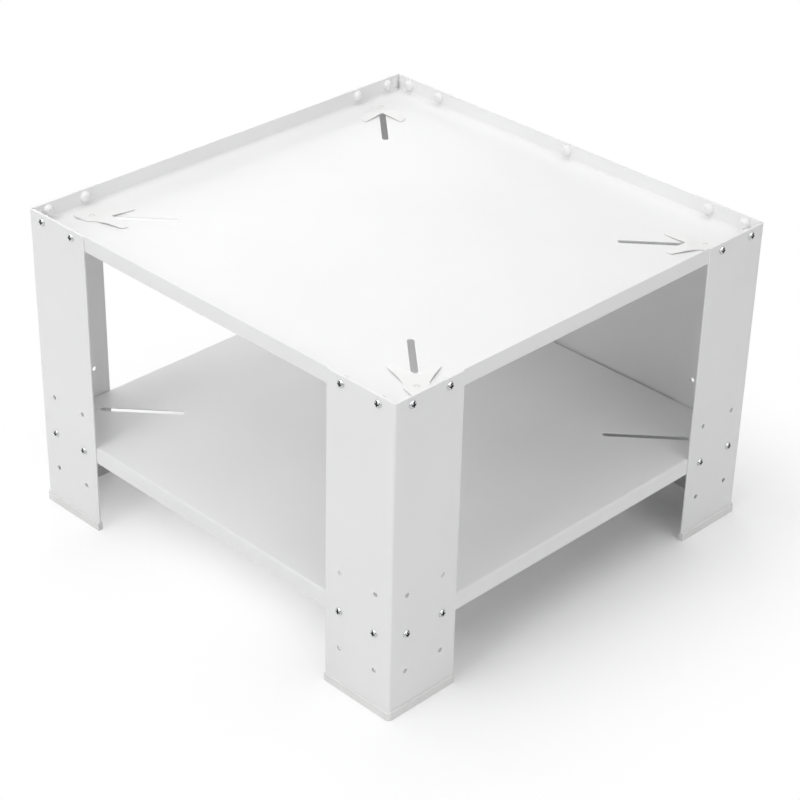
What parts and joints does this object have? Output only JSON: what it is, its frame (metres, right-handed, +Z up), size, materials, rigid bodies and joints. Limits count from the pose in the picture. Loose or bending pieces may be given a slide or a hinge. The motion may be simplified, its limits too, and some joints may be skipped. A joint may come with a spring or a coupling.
{
  "type": "washing machine base",
  "caption": "Free-standing white sheet-steel stand that raises a washing machine: rimmed tray with sliding foot stops, angle legs, lower shelf and rear panel.",
  "frame": {"origin": "on the floor, under the middle of the stand", "axes": "+Z up, the open front towards -Y, the rear panel towards +Y"},
  "size_m": [0.6056, 0.6066, 0.399],
  "materials": {
    "powder_white": "satin powder coat",
    "stop_white": "satin powder coat",
    "foot_plastic": "matt moulded",
    "cap_plastic": "smooth moulded",
    "plated_steel": "bright zinc plated"
  },
  "bodies": {
    "frame": {"top_tray": "powder_white", "shelf": "powder_white", "rear_panel": "powder_white", "leg_front_left": "powder_white", "foot_cap_front_left": "foot_plastic", "leg_front_right": "powder_white", "foot_cap_front_right": "foot_plastic", "leg_rear_left": "powder_white", "foot_cap_rear_left": "foot_plastic", "leg_rear_right": "powder_white", "foot_cap_rear_right": "foot_plastic", "tray_screws_front": "plated_steel", "tray_nuts_front": "plated_steel", "shelf_screws_front": "plated_steel", "shelf_nuts_front": "plated_steel", "tray_nut_caps_front": "cap_plastic", "tray_screws_rear": "plated_steel", "tray_nuts_rear": "plated_steel", "shelf_screws_rear": "plated_steel", "shelf_nuts_rear": "plated_steel", "tray_nut_caps_rear": "cap_plastic", "tray_screws_left": "plated_steel", "tray_nuts_left": "plated_steel", "shelf_screws_left": "plated_steel", "shelf_nuts_left": "plated_steel", "tray_nut_caps_left": "cap_plastic", "tray_screws_right": "plated_steel", "tray_nuts_right": "plated_steel", "shelf_screws_right": "plated_steel", "shelf_nuts_right": "plated_steel", "tray_nut_caps_right": "cap_plastic", "panel_spacers": "plated_steel"},
    "stop_front_left": {"foot_stop_front_left": "stop_white", "stop_screw_front_left": "stop_white", "stop_washer_front_left": "plated_steel"},
    "stop_front_right": {"foot_stop_front_right": "stop_white", "stop_screw_front_right": "stop_white", "stop_washer_front_right": "plated_steel"},
    "stop_rear_left": {"foot_stop_rear_left": "stop_white", "stop_screw_rear_left": "stop_white", "stop_washer_rear_left": "plated_steel"},
    "stop_rear_right": {"foot_stop_rear_right": "stop_white", "stop_screw_rear_right": "stop_white", "stop_washer_rear_right": "plated_steel"}
  },
  "joints": [
    {"name": "stop_front_left_slide", "type": "slide", "parent": "frame", "child": "stop_front_left", "axis": [0.7486, 0.663, 0], "range_m": [0, 0.097]},
    {"name": "stop_front_right_slide", "type": "slide", "parent": "frame", "child": "stop_front_right", "axis": [-0.7486, 0.663, 0], "range_m": [0, 0.097]},
    {"name": "stop_rear_left_slide", "type": "slide", "parent": "frame", "child": "stop_rear_left", "axis": [0.7486, -0.663, 0], "range_m": [0, 0.097]},
    {"name": "stop_rear_right_slide", "type": "slide", "parent": "frame", "child": "stop_rear_right", "axis": [-0.7486, -0.663, 0], "range_m": [0, 0.097]}
  ]
}
